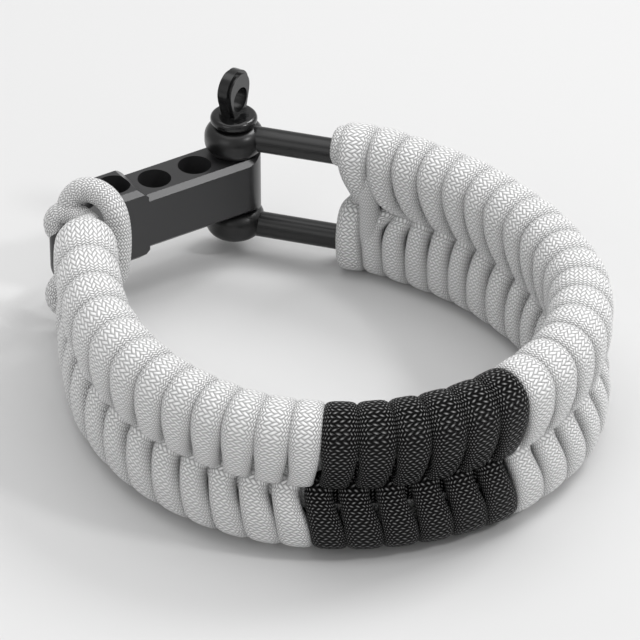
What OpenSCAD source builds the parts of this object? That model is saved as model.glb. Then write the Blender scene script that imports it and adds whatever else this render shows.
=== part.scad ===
// Paracord bracelet: a fishtail woven band, closed by a small bow shackle and a drilled adjuster.
// It lies on the edge of its band, with the plane z = 0 as the surface under it.
// Millimetres. X runs to the right, Y to the back and Z up, seen from the black section.

/* [Band] */
// Mean radius of the band's middle line round the wrist
wrist_r = 36; // [32:0.5:42]
// Height of the band, which is the width of the bracelet on the arm
band_h = 25.2; // [24.8:0.1:27]
// Thickness of the band from its inner to its outer face
band_t = 9.4; // [9.2:0.1:11]
// Thickness of a wrap's cord where it lies flattened on the band
cord_t = 2.4; // [2:0.1:2.5]
// Room that one wrap takes along the middle line, between the shackle and the black section
short_pitch = 4.95; // [4.6:0.05:6]
// Room that one black wrap takes along the middle line
black_pitch = 4.75; // [4.4:0.05:6]
// Mean room of a wrap between the black section and the adjuster
long_pitch = 5.85; // [4.8:0.05:7]
// How much looser the wraps lie towards the adjuster: 0 is even
loosening = 0.25; // [0:0.01:0.3]
// Gap between a wrap and the next one
wrap_gap = 0.18; // [0.12:0.02:0.4]
// Diameter of the core cord inside the wraps
core_d = 3.4; // [2.4:0.1:3.4]
// Number of black wraps in each row
black_wraps = 6; // [1:1:10]
// Where the black section starts, as a share of the way from the shackle to the adjuster
black_start = 0.418; // [0.3:0.001:0.6]
// Gap between the upper and the lower row of wraps
row_gap = 0.2; // [0.2:0.05:0.6]
// How much lower the band is at the front, where the wraps are pulled tightest
front_squeeze = 0.07; // [0:0.01:0.08]

/* [Shackle] */
// Diameter of the shackle's round bar
leg_d = 4; // [3:0.1:4]
// Distance between the middles of the two legs
leg_spacing = 15.6; // [15:0.1:15.7]
// Distance from the screw pin to the outermost middle of the bow
bow_reach = 24.3; // [22:0.1:30]
// Diameter of each ear
ear_d = 9.2; // [7:0.1:9.4]
// Height of each ear along the screw pin
ear_h = 5; // [4.4:0.1:5.2]
// Rounding of the ears' rims
ear_round = 2.1; // [0.4:0.1:2.1]

/* [Screw pin] */
// Diameter of the pin's shank
pin_d = 3.8; // [3:0.1:4]
// Diameter of the collar that seats on the upper ear
collar_d = 7.3; // [6:0.1:8.4]
// Height of the collar
collar_h = 1.6; // [1:0.1:3]
// Width of the flat eye above the collar
eye_w = 6.6; // [5.6:0.1:8]
// Thickness of the flat eye
eye_t = 2.4; // [1.4:0.1:3]
// Height of the eye above the collar
eye_h = 7.7; // [7.4:0.1:11]
// Depth of the step that runs round the rim of the eye, on both sides
eye_step = 0.5; // [0.2:0.1:0.8]
// Diameter of the hole in the eye
eye_hole_d = 4; // [2:0.1:4]
// Direction that the eye's flat side faces, from the X axis
eye_turn = -30; // [-180:1:180]

/* [Adjuster] */
// Width of the adjuster bar across its flat sides
bar_w = 8.2; // [7.6:0.1:9]
// Bevel along the long edges of the adjuster bar
bar_bevel = 0.8; // [0.2:0.1:1]
// Height of the adjuster bar between the ears
bar_h = 9.6; // [9:0.1:10.1]
// Height of the adjuster's thicker end
bar_end_h = 12.4; // [12.2:0.1:14]
// Diameter of the adjuster's holes
hole_d = 5.2; // [4.4:0.1:5.4]
// Distance from one adjuster hole to the next
hole_pitch = 7.2; // [6.6:0.1:9]
// Number of adjuster holes
holes = 4; // [3:1:4]
// Diameter of the round bar of the cord eye at the adjuster's end
loop_bar_d = 2.2; // [1.6:0.1:2.4]
// Length of the cord eye's window along the bar
loop_slot = 7.8; // [6.6:0.1:8]
// Angle by which the cord eye is bent towards the band
loop_bend = 22; // [0:1:26]

/* [Clearances] */
// Gap between an ear and the adjuster bar, and between the collar and its ear
seat_gap = 0.15; // [0.1:0.01:0.3]
// Play of the pin in the ears, on the diameter
pin_play = 0.3; // [0.2:0.05:0.6]
// Gap between a cord and the metal beside it
cord_gap = 0.15; // [0.1:0.05:0.4]

/* [Hidden] */
$fn = 48;

steel = "#1c1c1e";
white_cord = "#e4e4e4";
black_cord = "#151517";

mid_z = band_h / 2;

// The clasp closes the round: its pin stands at the back left, just outside the band's circle.
pin_angle = 113.7;
pin_r_share = 1.25;
shackle_heading = -16.8;
bar_heading = 212.5;
pin_at = pin_r_share * wrist_r * [cos(pin_angle), sin(pin_angle)];
function heading(a) = [cos(a), sin(a)];
bow_at = pin_at + bow_reach * heading(shackle_heading);

// The adjuster's own lengths, measured from the pin along the bar.
bar_wall = 1.2;
last_hole_u = (holes - 1) * hole_pitch;
step_u = last_hole_u - hole_d / 2 - bar_wall;
step_run = 1.6;
slot_u = last_hole_u + hole_d / 2 + bar_wall;
loop_r = 3;
loop_half = (bar_end_h - loop_bar_d) / 2;
loop_root = pin_at + slot_u * heading(bar_heading);
loop_heading = bar_heading + loop_bend;
loop_front = [-sin(loop_heading), cos(loop_heading)];
cross_u = loop_slot + loop_bar_d / 2;

// Where the core cord passes over an arm of the cord eye, measured from the eye's root.
hook_u = 4.75;
hook_at = loop_root + hook_u * heading(loop_heading);

// The middle line from the bow, round the wrist, to the adjuster's eye.
// Columns: angle from the X axis, distance from the wrist's centre as a share of wrist_r.
wrist_line = [
    [57, 0.87], [37, 0.845], [17, 0.87], [-5, 0.93], [-30, 0.97], [-58, 0.995],
    [-85, 1.015], [-112, 1.03], [-138, 1.03], [-163, 1.045], [-185, 1.09], [-201, 1.195]
];
lead = 6;
line_knots = concat(
    [for (back = [3, 2, 1, 0]) bow_at - back * lead * heading(shackle_heading)],
    [for (row = wrist_line) row[1] * wrist_r * heading(row[0])],
    [hook_at, hook_at - lead * loop_front]
);

// A smooth curve through knots: the point at share t between knots b and c.
function smooth_point(a, b, c, d, t) =
    0.5 * (2 * b + (c - a) * t + (2 * a - 5 * b + 4 * c - d) * t * t + (3 * b - a - 3 * c + d) * t * t * t);
function smooth_line(knots, steps) = [
    for (i = [1 : len(knots) - 3])
        for (j = [0 : steps - 1])
            smooth_point(knots[i - 1], knots[i], knots[i + 1], knots[i + 2], j / steps),
    knots[len(knots) - 2]
];
function run_lengths(line, i = 0, total = 0) =
    i == len(line) ? [] : concat(
        [total + (i == 0 ? 0 : norm(line[i] - line[i - 1]))],
        run_lengths(line, i + 1, total + (i == 0 ? 0 : norm(line[i] - line[i - 1])))
    );

line_steps = 8;
line_points = smooth_line(line_knots, line_steps);
// Lengths count from the bow, so the stretch along the shackle's legs is negative.
line_runs = run_lengths(line_points);
bow_run = line_runs[2 * line_steps];
line_x = [for (i = [0 : len(line_points) - 1]) [line_runs[i] - bow_run, line_points[i][0]]];
line_y = [for (i = [0 : len(line_points) - 1]) [line_runs[i] - bow_run, line_points[i][1]]];
line_end = line_runs[len(line_points) - 1] - bow_run;

// The origin lies under the middle of the bracelet's box.
function reach(side, axis) = max([for (p = line_points) side * p[axis]]) + band_t / 2;
hook_clear = (loop_bar_d + core_d) / 2 + cord_gap;
left_x = hook_at[0] - hook_clear * loop_front[0] - core_d / 2;
back_y = pin_at[1] + ear_d / 2;
middle = [(reach(1, 0) + left_x) / 2, (back_y - reach(-1, 1)) / 2];

function line_at(s) = [lookup(s, line_x), lookup(s, line_y)];
look = 1.5;
function outward(s) =
    let (ahead = line_at(s + look) - line_at(s - look))
    [ahead[1], -ahead[0]] / -norm(ahead);
// The band's height at s, as a share of band_h.
front_s = 104;
front_run = 32;
function height_share(s) = 1 - front_squeeze * exp(-pow((s - front_s) / front_run, 2));
// A point of the band: s along the middle line, n outwards from it, z up.
function on_band(s, n, z) =
    let (p = line_at(s) + n * outward(s) - middle)
    [p[0], p[1], mid_z + (z - mid_z) * height_share(s)];

// The wraps of each row, from the shackle to the adjuster, in three sections.
first_edge = -6.7;
end_room = 4.2;
last_edge = line_end - end_room;
black_edge = black_start * line_end;
short_wraps = round((black_edge - first_edge) / short_pitch);
long_edge = black_edge + black_wraps * black_pitch;
long_wraps = round((last_edge - long_edge) / long_pitch);
wraps = short_wraps + black_wraps + long_wraps;
// The edge before wrap k, counted from the shackle.
function long_share(x) = x + loosening * (pow(x, 3) - x);
function edge(k) =
    k < short_wraps ? first_edge + k * (black_edge - first_edge) / short_wraps
    : k < short_wraps + black_wraps ? black_edge + (k - short_wraps) * black_pitch
    : long_edge + (last_edge - long_edge) * long_share((k - short_wraps - black_wraps) / long_wraps);
// The lower row falls back behind the upper one over its first wraps, to over half a wrap, so each
// of its sections starts one wrap later.
late = 1;
fall_wraps = 6;
full_lag = 0.7;
function lag(k) = full_lag * min(1, k / fall_wraps);
function row_edge(row, k) =
    row > 0 || k <= 0 ? edge(k) : edge(k) - lag(k) * (edge(k) - edge(k - 1));
row_half = (band_h - row_gap) / 4;
upper_z = mid_z + row_gap / 2 + row_half;
lower_z = mid_z - row_gap / 2 - row_half;
path_n = (band_t - cord_t) / 2;
path_z = row_half - cord_t / 2;

// Columns: place across the band and up the row, as shares of path_n and path_z.
wrap_loop = [
    [1, -0.45], [1, 0.4], [0.75, 0.78], [0.3, 1], [-0.3, 1],
    [-0.75, 0.78], [-1, 0.4], [-1, -0.45], [-0.6, -0.95], [0.6, -0.95]
];
// Columns: place along the band and through the cord, as shares of half its width and thickness.
wrap_section = [[1, 0], [0.55, 1], [-0.55, 1], [-1, 0], [-0.55, -1], [0.55, -1]];
// How far a wrap leans from its edge of the band to the valley: outer face, inner face.
upper_lean = [0.5, 2.3];
lower_lean = [1.9, -0.7];
// Width of a crossing between the rows as a share of the wrap: beside the bow, and elsewhere.
bow_share = 0.5;
cross_share = 0.95;
bow_zone = 11;

// A wrap's crossing between the rows keeps clear of the bow, on whichever side it starts.
cross_clear = leg_d / 2 + 1.5;
cross_before = -4.4;
cross_ease = 0.6;
function clear_of_bow(s) = s < 0 ? min(s, cross_before) : max(s, cross_clear + cross_ease * s);

function wrap_point(row, s, room, lean, i, j) =
    let (
        count = len(wrap_loop),
        here = wrap_loop[i],
        next = wrap_loop[(i + 1) % count],
        last = wrap_loop[(i + count - 1) % count],
        along = [(next[0] - last[0]) * path_n, (next[1] - last[1]) * path_z],
        out = [along[1], -along[0]] / norm(along),
        depth = (1 - here[1]) / 2,
        inner = (1 - here[0]) / 2,
        drift = lean[0] * (1 - inner) + lean[1] * inner,
        mean = s + (lean[0] + lean[1]) / 2,
        push = clear_of_bow(mean) - mean,
        share = abs(mean) < bow_zone ? bow_share : cross_share,
        width = (room - wrap_gap) * (1 - (1 - share) * depth * depth),
        side = wrap_section[j],
        n = here[0] * path_n + out[0] * side[1] * cord_t / 2,
        up = here[1] * path_z + out[1] * side[1] * cord_t / 2
    )
    on_band(
        s + drift * depth * depth + push * pow(depth, 6) + side[0] * width / 2,
        n, row > 0 ? upper_z + up : lower_z - up
    );

// A closed ring of cord: stations round the loop, with the sides of the section at each.
module wrap(row, s, room) {
    lean = row > 0 ? upper_lean : lower_lean;
    stations = len(wrap_loop);
    sides = len(wrap_section);
    points = [for (i = [0 : stations - 1]) for (j = [0 : sides - 1]) wrap_point(row, s, room, lean, i, j)];
    faces = [
        for (i = [0 : stations - 1])
            for (j = [0 : sides - 1])
                let (
                    a = i * sides + j,
                    b = i * sides + (j + 1) % sides,
                    c = ((i + 1) % stations) * sides + (j + 1) % sides,
                    d = ((i + 1) % stations) * sides + j
                )
                each (row > 0 ? [[a, c, b], [a, d, c]] : [[a, b, c], [a, c, d]])
    ];
    polyhedron(points, faces, convexity = 4);
}

module wrap_row(row, first, count) {
    for (k = [first : first + count - 1])
        wrap(row, (row_edge(row, k) + row_edge(row, k + 1)) / 2, row_edge(row, k + 1) - row_edge(row, k));
}

// The core cord of one row: out along the band, through the adjuster's eye, round its bar and back.
core_rise = core_d / 2 + 0.1;
core_start = leg_d / 2 + cord_gap;
core_end = last_edge + 0.8;
core_steps = wraps;
hook_lead = 1.7;
// A point of the turn over an arm: turn 0 is beside the window, 180 is beyond the arm.
function hook_point(side, turn, front) =
    let (p = hook_at + (front - hook_clear * sin(turn)) * loop_front - middle)
    [p[0], p[1], mid_z + side * (loop_half - hook_clear * cos(turn))];
function core_run(z, from, to) = [
    for (k = [0 : core_steps]) on_band(from + k * (to - from) / core_steps, 0, z)
];
function core_route(side) =
    let (row_z = side > 0 ? upper_z : lower_z)
    concat(
        core_run(row_z - side * core_rise, core_start, core_end),
        [hook_point(side, 0, hook_lead)],
        [for (turn = [0 : 36 : 180]) hook_point(side, turn, 0)],
        [hook_point(side, 180, hook_lead)],
        core_run(row_z + side * core_rise, core_end, core_start)
    );

// A round cord swept along a route that nowhere runs straight up.
cord_sides = 6;
function unit(v) = v / norm(v);
function ring_of(route, i, r) =
    let (
        ahead = unit(route[min(i + 1, len(route) - 1)] - route[max(i - 1, 0)]),
        side = unit(cross(ahead, [0, 0, 1])),
        up = cross(side, ahead)
    )
    [for (j = [0 : cord_sides - 1])
        route[i] + r * (side * cos(360 * j / cord_sides) + up * sin(360 * j / cord_sides))];
module cord(route, r) {
    rings = len(route);
    points = [for (i = [0 : rings - 1]) each ring_of(route, i, r)];
    walls = [
        for (i = [0 : rings - 2])
            for (j = [0 : cord_sides - 1])
                let (
                    a = i * cord_sides + j,
                    b = i * cord_sides + (j + 1) % cord_sides,
                    c = b + cord_sides,
                    d = a + cord_sides
                )
                each [[a, b, c], [a, c, d]]
    ];
    start = [for (j = [cord_sides - 1 : -1 : 0]) j];
    end = [for (j = [0 : cord_sides - 1]) (rings - 1) * cord_sides + j];
    polyhedron(points, concat([start], walls, [end]), convexity = 6);
}

module upper_core_cord() {
    color(white_cord) cord(core_route(1), core_d / 2);
}

module lower_core_cord() {
    color(white_cord) cord(core_route(-1), core_d / 2);
}

module white_upper_short() {
    color(white_cord) wrap_row(1, 0, short_wraps);
}

module white_lower_short() {
    color(white_cord) wrap_row(-1, 0, short_wraps + late);
}

module black_upper() {
    color(black_cord) wrap_row(1, short_wraps, black_wraps);
}

module black_lower() {
    color(black_cord) wrap_row(-1, short_wraps + late, black_wraps);
}

module white_upper_long() {
    color(white_cord) wrap_row(1, short_wraps + black_wraps, long_wraps);
}

module white_lower_long() {
    color(white_cord) wrap_row(-1, short_wraps + black_wraps + late, long_wraps - late);
}

// A turned disc with rounded rims, standing on z = 0.
module rounded_disc(d, h, rim) {
    rotate_extrude() {
        square([d / 2 - rim, h]);
        translate([0, rim]) square([d / 2, h - 2 * rim]);
        translate([d / 2 - rim, rim]) circle(rim);
        translate([d / 2 - rim, h - rim]) circle(rim);
    }
}

// Puts a piece drawn along X from the pin into its place in the clasp.
module at_pin(turn) {
    translate([pin_at[0] - middle[0], pin_at[1] - middle[1], mid_z]) rotate([0, 0, turn]) children();
}

ear_z = bar_h / 2 + seat_gap;
leg_z = leg_spacing / 2;
bow_start = bow_reach - leg_z;

module shackle() {
    color(steel) at_pin(shackle_heading) difference() {
        union() {
            for (side = [0, 1]) mirror([0, 0, side]) {
                translate([0, 0, ear_z]) rounded_disc(ear_d, ear_h, ear_round);
                translate([0, 0, leg_z]) rotate([0, 90, 0]) cylinder(d = leg_d, h = bow_start);
            }
            translate([bow_start, 0, 0]) rotate([90, 0, 0]) rotate([0, 0, -90])
                rotate_extrude(angle = 180) translate([leg_z, 0]) circle(d = leg_d);
        }
        translate([0, 0, -ear_z - ear_h - 1]) cylinder(d = pin_d + pin_play, h = 2 * (ear_z + ear_h) + 2);
        // The legs end inside the ears, so nothing of them stands in the space for the bar.
        translate([0, 0, -ear_z]) cylinder(d = ear_d, h = 2 * ear_z);
    }
}

collar_z = ear_z + ear_h + seat_gap;
eye_base = collar_z + collar_h;
eye_top = eye_base + eye_h;
eye_rim = 2.8;

// The eye's outline, drawn in from its rim by inset: a disc on a neck that widens upwards.
neck_share = 0.3;
neck_root = 0.4;
shoulder_share = 0.49;
shoulder_drop = 0.62;
module eye_plate(thickness, inset) {
    neck = eye_w * neck_share - inset;
    shoulder = eye_w * shoulder_share - inset;
    shoulder_z = eye_top - eye_w * shoulder_drop;
    translate([-thickness / 2, 0, 0]) rotate([90, 0, 90]) linear_extrude(thickness) {
        translate([0, eye_top - eye_w / 2]) circle(d = eye_w - 2 * inset);
        polygon([
            [-neck, eye_base - neck_root], [neck, eye_base - neck_root],
            [shoulder, shoulder_z], [-shoulder, shoulder_z]
        ]);
    }
}

boss_d = 4.6;
boss_h = 0.5;
collar_round = 0.45;
module screw_pin() {
    color(steel) at_pin(eye_turn) difference() {
        union() {
            translate([0, 0, -ear_z - ear_h + seat_gap]) cylinder(d = pin_d, h = ear_z + ear_h + collar_z);
            translate([0, 0, collar_z]) rounded_disc(collar_d, collar_h, collar_h * collar_round);
            translate([0, 0, collar_z]) cylinder(d = boss_d, h = collar_h + boss_h);
            eye_plate(eye_t, eye_step);
            eye_plate(eye_t - 2 * eye_step, 0);
        }
        translate([-eye_t, 0, eye_top - eye_rim - eye_hole_d / 2]) rotate([0, 90, 0])
            cylinder(d = eye_hole_d, h = 2 * eye_t);
    }
}

// The bar seen from its side: straight, then a step up to the thicker end on both edges.
module bar_side() {
    half = bar_h / 2;
    end_half = bar_end_h / 2;
    polygon([
        [-bar_w, -half], [step_u, -half], [step_u + step_run, -end_half], [slot_u, -end_half],
        [slot_u, end_half], [step_u + step_run, end_half], [step_u, half], [-bar_w, half]
    ]);
}

// A length of the bar along X with bevelled long edges, up to half its height on each side.
module bevelled_bar(from, to, half) {
    side = bar_w / 2;
    translate([from, 0, 0]) rotate([90, 0, 90]) linear_extrude(to - from) polygon([
        [-side + bar_bevel, -half], [side - bar_bevel, -half], [side, -half + bar_bevel],
        [side, half - bar_bevel], [side - bar_bevel, half], [-side + bar_bevel, half],
        [-side, half - bar_bevel], [-side, -half + bar_bevel]
    ]);
}

// Half of the cord eye: an arm, a corner, and the crossbar down to its middle.
module eye_half() {
    translate([-bar_wall / 2, 0, loop_half]) rotate([0, 90, 0])
        cylinder(d = loop_bar_d, h = cross_u - loop_r + bar_wall / 2);
    translate([cross_u - loop_r, 0, loop_half - loop_r]) rotate([90, 0, 0])
        rotate_extrude(angle = 90) translate([loop_r, 0]) circle(d = loop_bar_d);
    translate([cross_u, 0, 0]) cylinder(d = loop_bar_d, h = loop_half - loop_r);
}

module adjuster() {
    color(steel) at_pin(bar_heading) union() {
        difference() {
            intersection() {
                translate([0, 0, -bar_end_h]) linear_extrude(2 * bar_end_h) {
                    circle(d = bar_w);
                    translate([0, -bar_w / 2]) square([slot_u, bar_w]);
                }
                translate([0, bar_w, 0]) rotate([90, 0, 0]) linear_extrude(2 * bar_w) bar_side();
                union() {
                    bevelled_bar(-bar_w, step_u + step_run, bar_h / 2);
                    bevelled_bar(step_u, slot_u, bar_end_h / 2);
                }
            }
            for (i = [0 : holes - 1])
                translate([i * hole_pitch, 0, -bar_end_h]) cylinder(d = hole_d, h = 2 * bar_end_h);
        }
        for (side = [0, 1])
            translate([slot_u, 0, 0]) rotate([0, 0, loop_bend]) mirror([0, 0, side]) eye_half();
    }
}

adjuster();
shackle();
screw_pin();
upper_core_cord();
lower_core_cord();
white_upper_long();
white_lower_long();
black_upper();
black_lower();
white_upper_short();
white_lower_short();
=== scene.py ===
import math

import bmesh
import bpy
import numpy as np
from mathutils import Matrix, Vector


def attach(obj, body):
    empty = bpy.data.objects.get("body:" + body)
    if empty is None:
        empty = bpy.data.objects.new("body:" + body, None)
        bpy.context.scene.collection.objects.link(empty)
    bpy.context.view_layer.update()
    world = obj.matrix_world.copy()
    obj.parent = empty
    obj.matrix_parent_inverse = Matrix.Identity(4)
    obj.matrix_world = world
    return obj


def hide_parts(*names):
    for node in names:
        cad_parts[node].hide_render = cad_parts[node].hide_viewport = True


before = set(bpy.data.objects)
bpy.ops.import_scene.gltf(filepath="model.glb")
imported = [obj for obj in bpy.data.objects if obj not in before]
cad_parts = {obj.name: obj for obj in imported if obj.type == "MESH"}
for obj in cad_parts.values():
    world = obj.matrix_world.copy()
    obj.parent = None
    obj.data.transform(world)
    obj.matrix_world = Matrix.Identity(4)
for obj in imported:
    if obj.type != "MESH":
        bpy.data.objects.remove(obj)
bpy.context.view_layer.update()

# The camera stands in front of the black section and looks down on it, at the photograph's angle.
# Its long lens keeps the near and the far side of the band almost the same size.
camera_at = Vector((-0.00064, -0.54993, 0.3917))
camera_aim = Vector((-0.00064, 0.000067, 0.0125))
lens = bpy.data.cameras.new("camera")
lens.sensor_width = 36
lens.lens = 253.1
lens.clip_start = 0.05
camera = bpy.data.objects.new("camera", lens)
camera.location = camera_at
camera.rotation_euler = (camera_aim - camera_at).to_track_quat("-Z", "Y").to_euler()
bpy.context.collection.objects.link(camera)
bpy.context.scene.camera = camera
bpy.context.scene.view_settings.view_transform = "Standard"

# A pale table, and a photographer's soft lights: the key is high at the back right, a large one
# hangs overhead, a weak one fills the front left, and a small one draws the metal's edges.
table_mesh = bpy.data.meshes.new("table")
bm = bmesh.new()
bmesh.ops.create_grid(bm, x_segments=1, y_segments=1, size=3)
bm.to_mesh(table_mesh)
bm.free()
table_paint = bpy.data.materials.new("table_paint")
table_paint.use_nodes = True
table_shader = table_paint.node_tree.nodes["Principled BSDF"]
table_shader.inputs["Base Color"].default_value = (0.68, 0.68, 0.68, 1)
table_shader.inputs["Roughness"].default_value = 0.8
table_shader.inputs["Specular IOR Level"].default_value = 0.1
table_mesh.materials.append(table_paint)
table = bpy.data.objects.new("table", table_mesh)
bpy.context.collection.objects.link(table)

world = bpy.data.worlds.new("studio")
world.use_nodes = True
world.node_tree.nodes["Background"].inputs["Color"].default_value = (1, 1, 1, 1)
world.node_tree.nodes["Background"].inputs["Strength"].default_value = 0.5
bpy.context.scene.world = world

# Columns: name, place, size in metres, power in watts.
for name, place, size, power in (
    ("key", (0.55, 0.45, 0.75), 0.35, 4.2),
    ("overhead", (-0.05, 0.15, 0.9), 0.9, 3.6),
    ("fill", (-0.5, -0.6, 0.45), 0.5, 0.8),
    ("edge", (0.61, -0.22, 0.63), 0.1, 1.6),
):
    lamp = bpy.data.lights.new(name, "AREA")
    lamp.size = size
    lamp.energy = power
    stand = bpy.data.objects.new(name, lamp)
    stand.location = place
    stand.rotation_euler = (-Vector(place)).to_track_quat("-Z", "Y").to_euler()
    bpy.context.collection.objects.link(stand)

# The clasp: a bow shackle, its screw pin and the adjuster bar, of steel with a satin black coat.
# The coat is thin and even, and wears a little smoother on the turned parts than on the bar. The
# bar's base colour is set lighter than the turned parts' as a painted reflection of the bright table
# in its front face.
for node, shade, roughness in (
    ("shackle", 0.006, 0.36), ("screw_pin", 0.008, 0.22), ("adjuster", 0.035, 0.34)
):
    coat = bpy.data.materials.new("black_coat_" + node)
    coat.use_nodes = True
    shader = coat.node_tree.nodes["Principled BSDF"]
    shader.inputs["Base Color"].default_value = (shade, shade, shade * 1.04, 1)
    shader.inputs["Metallic"].default_value = 0.2
    shader.inputs["Roughness"].default_value = roughness
    shader.inputs["Coat Weight"].default_value = 0.25
    shader.inputs["Coat Roughness"].default_value = 0.25
    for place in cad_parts[node].material_slots:
        place.material = coat

# The core cords: white paracord, round where it is free. Each runs inside its row of wraps, out
# through the adjuster's eye, round its arm and back. First comes the middle line of the band, from
# the shackle's bow to the adjuster's eye, drawn from the source's own sizes in millimetres.
millimetre = 0.001
wrist_r = 36
band_h = 25.2
band_t = 9.4
cord_t = 2.4
row_gap = 0.2
core_d = 3.4
cord_gap = 0.15
leg_d = 4
leg_spacing = 15.6
mid_z = band_h / 2
row_half = (band_h - row_gap) / 4
upper_z = mid_z + row_gap / 2 + row_half
lower_z = mid_z - row_gap / 2 - row_half


def heading(degrees):
    return np.array((math.cos(math.radians(degrees)), math.sin(math.radians(degrees))))


pin_r_share = 1.25
pin_angle = 113.7
bow_reach = 24.3
leg_heading = -16.8
pin_at = pin_r_share * wrist_r * heading(pin_angle)
bow_at = pin_at + bow_reach * heading(leg_heading)
bar_heading = 212.5
loop_bend = 22
loop_heading = bar_heading + loop_bend
holes = 4
hole_pitch = 7.2
hole_d = 5.2
slot_wall = 1.2
slot_u = (holes - 1) * hole_pitch + hole_d / 2 + slot_wall
loop_root = pin_at + slot_u * heading(bar_heading)
loop_front = heading(loop_heading + 90)
hook_u = 4.75
hook_at = loop_root + hook_u * heading(loop_heading)
# Columns: angle from the X axis, distance from the wrist's centre as a share of wrist_r.
wrist_line = (
    (57, 0.87), (37, 0.845), (17, 0.87), (-5, 0.93), (-30, 0.97), (-58, 0.995),
    (-85, 1.015), (-112, 1.03), (-138, 1.03), (-163, 1.045), (-185, 1.09), (-201, 1.195),
)
lead = 6
knots = [bow_at - back * lead * heading(leg_heading) for back in (3, 2, 1, 0)]
knots += [share * wrist_r * heading(angle) for angle, share in wrist_line]
knots += [hook_at, hook_at - lead * loop_front]
middle = np.array((-4.16, 2.233))


def smooth(a, b, c, d, t):
    """The point at share t of the curve from b to c, where a and d are their neighbours."""
    cubic = 3 * b - a - 3 * c + d
    return 0.5 * (2 * b + (c - a) * t + (2 * a - 5 * b + 4 * c - d) * t * t + cubic * t ** 3)


line_steps = 8
line = [
    smooth(*knots[i - 1:i + 3], j / line_steps)
    for i in range(1, len(knots) - 2) for j in range(line_steps)
]
line = np.array(line + [knots[-2]])
runs = np.concatenate(([0], np.cumsum(np.linalg.norm(np.diff(line, axis=0), axis=1))))
runs -= runs[2 * line_steps]
line_end = runs[-1]
end_room = 4.2
last_edge = line_end - end_room
look = 1.5
# The band is a little lower at the front, round front_s and for about front_run each way.
front_squeeze = 0.07
front_s = 104
front_run = 32


def line_at(s):
    return np.stack((np.interp(s, runs, line[:, 0]), np.interp(s, runs, line[:, 1])), -1)


def on_band(s, n, z):
    """The place of a point of the band in metres: s along it, n outwards, z up, in millimetres."""
    s, n, z = np.broadcast_arrays(s, n, z)
    ahead = line_at(s + look) - line_at(s - look)
    ahead /= np.linalg.norm(ahead, axis=-1, keepdims=True)
    out = np.stack((-ahead[..., 1], ahead[..., 0]), -1)
    flat = line_at(s) + n[..., None] * out - middle
    share = 1 - front_squeeze * np.exp(-((s - front_s) / front_run) ** 2)
    return millimetre * np.concatenate((flat, (mid_z + (z - mid_z) * share)[..., None]), -1)


class Field:
    """A number that a material works out at each point of a surface."""

    def __init__(self, tree, socket):
        self.tree = tree
        self.socket = socket

    def new(self, kind, settings=(), inputs=()):
        made = self.tree.nodes.new(kind)
        for key, value in dict(settings).items():
            setattr(made, key, value)
        for key, value in dict(inputs).items():
            if isinstance(value, Field):
                self.tree.links.new(value.socket, made.inputs[key])
            else:
                made.inputs[key].default_value = value
        return made

    def maths(self, how, *values):
        made = self.new("ShaderNodeMath", {"operation": how}, dict(enumerate(values)))
        return Field(self.tree, made.outputs[0])

    def __add__(self, other):
        return self.maths("ADD", self, other)

    def __sub__(self, other):
        return self.maths("SUBTRACT", self, other)

    def __rsub__(self, other):
        return self.maths("SUBTRACT", other, self)

    def __mul__(self, other):
        return self.maths("MULTIPLY", self, other)

    def __pow__(self, other):
        return self.maths("POWER", self, other)

    def __mod__(self, other):
        return self.maths("FLOORED_MODULO", self, other)

    def __gt__(self, other):
        return self.maths("GREATER_THAN", self, other)

    def floor(self):
        return self.maths("FLOOR", self)


braid_pitch = 0.5
braid_strands = 24
braid_relief_power = 0.6


def braided(name, pit_shade, strand, painted_light_power, roughness, relief, gloss):
    """Braided nylon: two sets of strands cross, each over two and under two of the other."""
    made = bpy.data.materials.new(name)
    made.use_nodes = True
    tree = made.node_tree
    shader = tree.nodes["Principled BSDF"]
    start = Field(tree, None)
    unwrapped = start.new("ShaderNodeUVMap", {"uv_map": "braid"})
    halves = start.new("ShaderNodeSeparateXYZ", inputs={0: Field(tree, unwrapped.outputs[0])})
    along = Field(tree, halves.outputs[0]) * (1 / braid_pitch)
    across = Field(tree, halves.outputs[1]) * (1 / braid_pitch)
    first = along + across
    second = along - across

    def crown(x):
        side = x * 2 - 1
        return 1 - side * side

    first_cell = first.floor()
    second_cell = second.floor()
    turn = (first_cell + second_cell) % 4
    first_over = crown(second % 1) * crown(((first + second_cell) % 4) * 0.5)
    second_over = crown(first % 1) * crown(((second + first_cell) % 4 - 2) * 0.5)
    choose = turn > 1.5
    shown = first_over * (1 - choose) + second_over * choose
    height = start.maths("MAXIMUM", shown, 0.0)
    lift = height ** braid_relief_power
    # Painted shade and highlight: the base colour is darkened towards the pits between the strands
    # as painted shade, and rises to the strand colour at the crowns.
    paint = start.new(
        "ShaderNodeMix", {"data_type": "RGBA"}, {0: height ** painted_light_power, 6: (*pit_shade, 1), 7: (*strand, 1)})
    tree.links.new(paint.outputs[2], shader.inputs["Base Color"])
    bump = start.new("ShaderNodeBump", inputs={"Strength": 1.0, "Distance": relief, "Height": lift})
    tree.links.new(bump.outputs["Normal"], shader.inputs["Normal"])
    shader.inputs["Roughness"].default_value = roughness
    shader.inputs["Specular IOR Level"].default_value = gloss
    return made


# The white cord's grey pits are painted shade.
white_braid = braided(
    "white_braid", pit_shade=(0.48, 0.48, 0.48), strand=(1, 1, 1), painted_light_power=0.6,
    roughness=0.4, relief=0.00026, gloss=0.5)
# The black cord's grey crowns are painted highlights, and its near-black pits are painted shade.
black_braid = braided(
    "black_braid", pit_shade=(0.0004, 0.0004, 0.0004), strand=(0.3, 0.3, 0.3), painted_light_power=6,
    roughness=0.32, relief=0.0003, gloss=0.12)
merge = 1e-7


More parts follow.
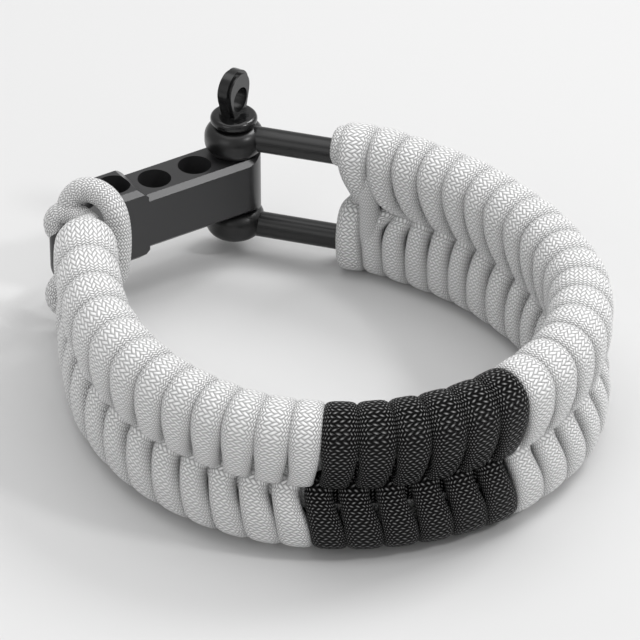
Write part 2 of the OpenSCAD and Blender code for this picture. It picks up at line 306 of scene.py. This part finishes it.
def woven(bm, places, u, v):
    """Adds a grid of places to bm, with u and v in millimetres of cord, and returns its corners."""
    uv_layer = bm.loops.layers.uv.verify()
    rows, columns = places.shape[:2]
    made = bmesh.ops.create_grid(
        bm, x_segments=rows - 1, y_segments=columns - 1, size=1, calc_uvs=True)["verts"]
    spot = {}
    for vert in made:
        i = round((vert.co.x + 1) / 2 * (rows - 1))
        j = round((vert.co.y + 1) / 2 * (columns - 1))
        spot[vert] = (u[i, j], v[i, j])
        vert.co = places[i, j]
    for face in {face for vert in made for face in vert.link_faces}:
        face.smooth = True
        for loop in face.loops:
            loop[uv_layer].uv = spot[loop.vert]
    return made


def finish_piece(bm, name, material, slot, *nodes):
    """Closes the seams, turns the faces outwards and puts the piece in the place of its nodes."""
    bmesh.ops.remove_doubles(bm, verts=bm.verts, dist=merge)
    bmesh.ops.recalc_face_normals(bm, faces=bm.faces)
    mesh = bpy.data.meshes.new(name)
    bm.to_mesh(mesh)
    bm.free()
    mesh.uv_layers[0].name = "braid"
    mesh.materials.append(material)
    piece = bpy.data.objects.new(name, mesh)
    bpy.context.collection.objects.link(piece)
    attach(piece, "root")
    if nodes:
        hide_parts(*nodes)


def through(points, steps):
    """A smooth open line through the points."""
    ends = [2 * points[0] - points[1], *points, 2 * points[-1] - points[-2]]
    made = [
        smooth(*ends[i - 1:i + 3], j / steps)
        for i in range(1, len(ends) - 2) for j in range(steps)
    ]
    return np.array(made + [points[-1]])


round_sides = 16
end_rings = 4


def round_cord(bm, route, radius):
    """A round cord along the route, with both ends rounded over, in metres."""
    taper = np.sin(np.linspace(0, math.pi / 2, end_rings + 1))[1:]
    widths = np.ones(len(route))
    widths[:end_rings] = taper
    widths[-end_rings:] = taper[::-1]
    ahead = np.gradient(route, axis=0)
    ahead /= np.linalg.norm(ahead, axis=1, keepdims=True)
    # The sides of each ring follow from the ring before, so the cord doesn't twist on a steep route.
    side = [np.cross(ahead[0], np.roll(np.eye(3)[np.argmax(np.abs(ahead[0]))], 1))]
    for step in ahead:
        level = side[-1] - step * np.dot(side[-1], step)
        side.append(level / np.linalg.norm(level))
    side = np.array(side[1:])
    up = np.cross(side, ahead)
    turn = np.linspace(0, 2 * math.pi, round_sides + 1)
    turn[-1] = 0
    ring = np.cos(turn)[None, :, None] * side[:, None] + np.sin(turn)[None, :, None] * up[:, None]
    places = route[:, None] + radius * widths[:, None, None] * ring
    run = np.concatenate(([0], np.cumsum(np.linalg.norm(np.diff(route, axis=0), axis=1))))
    girth = braid_strands * braid_pitch
    u = np.repeat(run[:, None] / millimetre, round_sides + 1, 1)
    v = np.repeat(np.linspace(0, girth, round_sides + 1)[None], len(route), 0)
    made = woven(bm, places, u, v)
    bmesh.ops.remove_doubles(bm, verts=made, dist=merge)


# The hooks are drawn flatter than the source's: each passes the eye's window, goes round the arm
# and the crossbar, and dives back under the last wraps. The places are in millimetres.
hooks = {
    "upper": (
        (-35.3, 15.9, 19.3), (-37.6, 18.4, 19.3), (-39.8, 19.1, 19.0), (-40.8, 19.1, 17.6),
        (-40.4, 19.0, 15.8), (-38.2, 18.8, 14.5),
    ),
    "lower": (
        (-38.0, 16.6, 8.5), (-39.9, 16.8, 7.8), (-40.8, 16.3, 6.3), (-40.2, 15.5, 4.8),
        (-38.1, 15.3, 4.2),
    ),
}
core_apart = 0.2
core_rise = (core_d + core_apart) / 2
core_room = 5
core_steps = 60
hook_steps = 3
for side, name in ((1, "upper"), (-1, "lower")):
    row_z = upper_z if side > 0 else lower_z
    stops = np.linspace(leg_d / 2 + cord_gap, last_edge - core_room, core_steps)
    strand = [
        *on_band(stops, 0, row_z + core_rise), *(millimetre * np.array(hooks[name])),
        *on_band(stops[::-1], 0, row_z - core_rise),
    ]
    bm = bmesh.new()
    round_cord(bm, through(strand, hook_steps), millimetre * core_d / 2)
    finish_piece(bm, f"core_cord_{name}", white_braid, "white_cord", f"{name}_core_cord")

# The wraps: one flattened working cord in white, then black, then white, woven over the core cords
# in a fishtail. Each wrap lies full and wide over the band's edge, narrows towards the valley
# between the rows, and its tip is drawn in between the tips of the other row.
short_pitch = 4.95
black_pitch = 4.75
long_pitch = 5.85
loosening = 0.25
black_wraps = 6
first_edge = -6.7
black_start = 0.418
black_edge = black_start * line_end
short_wraps = round((black_edge - first_edge) / short_pitch)
long_edge = black_edge + black_wraps * black_pitch
long_wraps = round((last_edge - long_edge) / long_pitch)
wraps = short_wraps + black_wraps + long_wraps


def edge(k):
    """Where wrap k starts, along the middle line."""
    if k < short_wraps:
        return first_edge + k * (black_edge - first_edge) / short_wraps
    if k < short_wraps + black_wraps:
        return black_edge + (k - short_wraps) * black_pitch
    x = (k - short_wraps - black_wraps) / long_wraps
    return long_edge + (last_edge - long_edge) * (x + loosening * (x ** 3 - x))


fall_wraps = 6
full_lag = 0.7


def row_edge(row, k):
    """Where wrap k starts in its row. Over the first wraps the lower row falls behind the upper."""
    if row > 0 or k <= 0:
        return edge(k)
    return edge(k) - full_lag * min(1, k / fall_wraps) * (edge(k) - edge(k - 1))


# Columns: place across the band and up the row, as shares of path_n and path_z.
wrap_loop = np.array((
    (1, -0.4), (1, 0.4), (0.75, 0.78), (0.3, 1), (-0.3, 1),
    (-0.75, 0.78), (-1, 0.4), (-1, -0.4), (-0.55, -1), (0.55, -1),
))
path_n = (band_t - cord_t) / 2
path_z = row_half - cord_t / 2
loop_steps = 6
section_sides = 20
section_power = 2 / 3.2
tip_share = 0.4
tip_power = 2.6
tip_reach = 0.16
overlap = 0.2
# How far the tip leans along the band, at the outer and at the inner face.
upper_lean = (0.5, 2.3)
lower_lean = (1.9, -0.7)
lean_power = 2
# The tips by the shackle's bow are pushed on, so that they clear it.
bow_room = 3.5
bow_ease = 0.6
push_power = 6
face_power = 3
# The wraps are a little uneven in width. Columns: share of the width, turn for each wrap and row.
unevenness = ((0.035, 2.1, 0.7), (0.02, 5.3, 0))
crossing_d = 4.6
crossing_from = 4.5
crossing_room = 0.6
crossing_steps = 40


def wrap(bm, row, k, low, high):
    """One wrap as a closed ring of flattened cord, from low to high along the band."""
    outer_lean, inner_lean = upper_lean if row > 0 else lower_lean
    shares = wrap_loop.copy()
    shares[shares[:, 1] < -0.9, 1] -= tip_reach * min(1, k / (fall_wraps if row > 0 else 1))
    count = len(shares)
    path = np.array([
        smooth(*(shares[(i + o) % count] for o in (-1, 0, 1, 2)), j / loop_steps)
        for i in range(count) for j in range(loop_steps)
    ])
    path = np.concatenate((path, path[:1]))
    flat = path * (path_n, path_z)
    ahead = np.roll(flat[:-1], -1, 0) - np.roll(flat[:-1], 1, 0)
    ahead = np.concatenate((ahead, ahead[:1]))
    out = np.stack((ahead[:, 1], -ahead[:, 0]), -1) / np.linalg.norm(ahead, axis=1, keepdims=True)
    depth = np.clip((1 - path[:, 1]) / 2, 0, 1)
    inner = np.clip((1 - path[:, 0]) / 2, 0, 1)
    drift = outer_lean * (1 - inner) + inner_lean * inner
    centre = (low + high) / 2
    tip = centre + (outer_lean + inner_lean) / 2
    push = max(tip, bow_room + bow_ease * tip) - tip if tip > 0 else 0
    push *= 1 - np.minimum(1, path[:, 0] ** 2)
    face = np.minimum(1, np.abs(path[:, 0])) ** face_power
    narrow = 1 - (1 - tip_share) * (1 - np.sqrt(1 - depth ** tip_power)) * face
    wobble = sum(share * math.sin(by_k * k + by_row * row) for share, by_k, by_row in unevenness)
    width = (high - low + overlap) * narrow * (1 + wobble)
    shift = drift * depth ** lean_power + push * depth ** push_power
    turn = np.linspace(0, 2 * math.pi, section_sides + 1)
    turn[-1] = 0
    across = np.sign(np.cos(turn)) * np.abs(np.cos(turn)) ** section_power
    lift = np.sign(np.sin(turn)) * np.abs(np.sin(turn)) ** section_power
    n = flat[:, :1] + out[:, :1] * lift * cord_t / 2
    up = flat[:, 1:] + out[:, 1:] * lift * cord_t / 2
    s = centre + shift[:, None] + across * width[:, None] / 2
    z = upper_z + up if row > 0 else lower_z - up
    run = np.concatenate(([0], np.cumsum(np.linalg.norm(np.diff(flat, axis=0), axis=1))))
    cells = 2 * round(run[-1] / braid_pitch / 2)
    u = np.repeat((run * cells * braid_pitch / run[-1])[:, None], section_sides + 1, 1)
    girth = np.linspace(0, braid_strands * braid_pitch, section_sides + 1)
    v = np.repeat(girth[None], len(run), 0)
    made = woven(bm, on_band(s, n, z), u, v)
    bmesh.ops.remove_doubles(bm, verts=made, dist=merge)


for section, first, last, material in (
    ("white_{}_short", 0, short_wraps, white_braid),
    ("black_{}", short_wraps, short_wraps + black_wraps, black_braid),
    ("white_{}_long", short_wraps + black_wraps, wraps, white_braid),
):
    for row, name in ((1, "upper"), (-1, "lower")):
        bm = bmesh.new()
        # The lower row's sections start one wrap later, because it lags, and the last turn of the
        # upper row is a piece of its own.
        late = 1 if row < 0 else 0
        start = first + late * (first > 0)
        end = min(wraps, last + late) - (row > 0) * (last == wraps)
        for k in range(start, end):
            wrap(bm, row, k, row_edge(row, k), row_edge(row, k + 1))
        # Between the tips shows the same cord, where it crosses from one row to the other.
        inside_start = max(crossing_from, row_edge(row, start))
        inside = np.linspace(inside_start, row_edge(row, end) - crossing_room, crossing_steps)
        route = on_band(inside, 0, mid_z + row * crossing_d / 2)
        round_cord(bm, route, millimetre * crossing_d / 2)
        node = section.format(name)
        slot = "black_cord" if material is black_braid else "white_cord"
        finish_piece(bm, "wraps_" + node, material, slot, node)

# The working cord's two ends, of the same cord. At the shackle it first turns round the upper leg,
# and then crosses the bow from row to row, once on each face of the band.
turn_s = -7.0
turn_r = 1.95
turn_cord_r = 1.25
turn_rise = 1.2
turn_z = mid_z + leg_spacing / 2 + turn_rise
turn_steps = 48
turn_sides = 16
turn_length = 34 * braid_pitch
turn_girth = 14 * braid_pitch
around = np.linspace(0, 2 * math.pi, turn_steps + 1)[:, None]
around[-1] = 0
section = np.linspace(0, 2 * math.pi, turn_sides + 1)[None]
section[:, -1] = 0
reach = turn_r + turn_cord_r * np.cos(section)
places = on_band(
    turn_s + turn_cord_r * np.sin(section),
    np.cos(around) * reach, turn_z + np.sin(around) * reach)
bm = bmesh.new()
woven(bm, places, *np.meshgrid(
    np.linspace(0, turn_length, turn_steps + 1), np.linspace(0, turn_girth, turn_sides + 1),
    indexing="ij"))
# Columns: place along the band, outwards from its middle, and up, in millimetres.
bow_crossing = np.array((
    (-1.6, 2.2, 21), (-1.4, 3.2, 17), (-1, 3.4, 12.6), (-1.2, 3.2, 8.2), (-1.6, 2.2, 4.2),
))
bow_crossing_r = 1.6
bow_crossing_steps = 5
along, outwards, up = bow_crossing.T
for face in (-1, 1):
    route = through(list(on_band(along, face * outwards, up)), bow_crossing_steps)
    round_cord(bm, route, millimetre * bow_crossing_r)
finish_piece(bm, "first_turn", white_braid, "white_cord")

# The other end, at the adjuster: the last turn of the upper row is drawn tight over the top of the
# band, from its outer to its inner side, and lies free of the others. The places are in millimetres.
last_turn = np.array((
    (-38.6, 21.1, 17.5), (-38.4, 19.9, 20.3), (-37.0, 19.7, 22.4), (-35.0, 19.0, 23.2),
    (-32.8, 17.4, 22.8), (-31.4, 15.6, 21.3), (-30.9, 14.3, 18.2), (-31.1, 13.0, 14.4),
    (-31.9, 12.7, 10.0),
))
last_turn_r = 1.95
last_turn_steps = 6
bm = bmesh.new()
route = through(list(millimetre * last_turn), last_turn_steps)
round_cord(bm, route, millimetre * last_turn_r)
finish_piece(bm, "last_turn", white_braid, "white_cord")
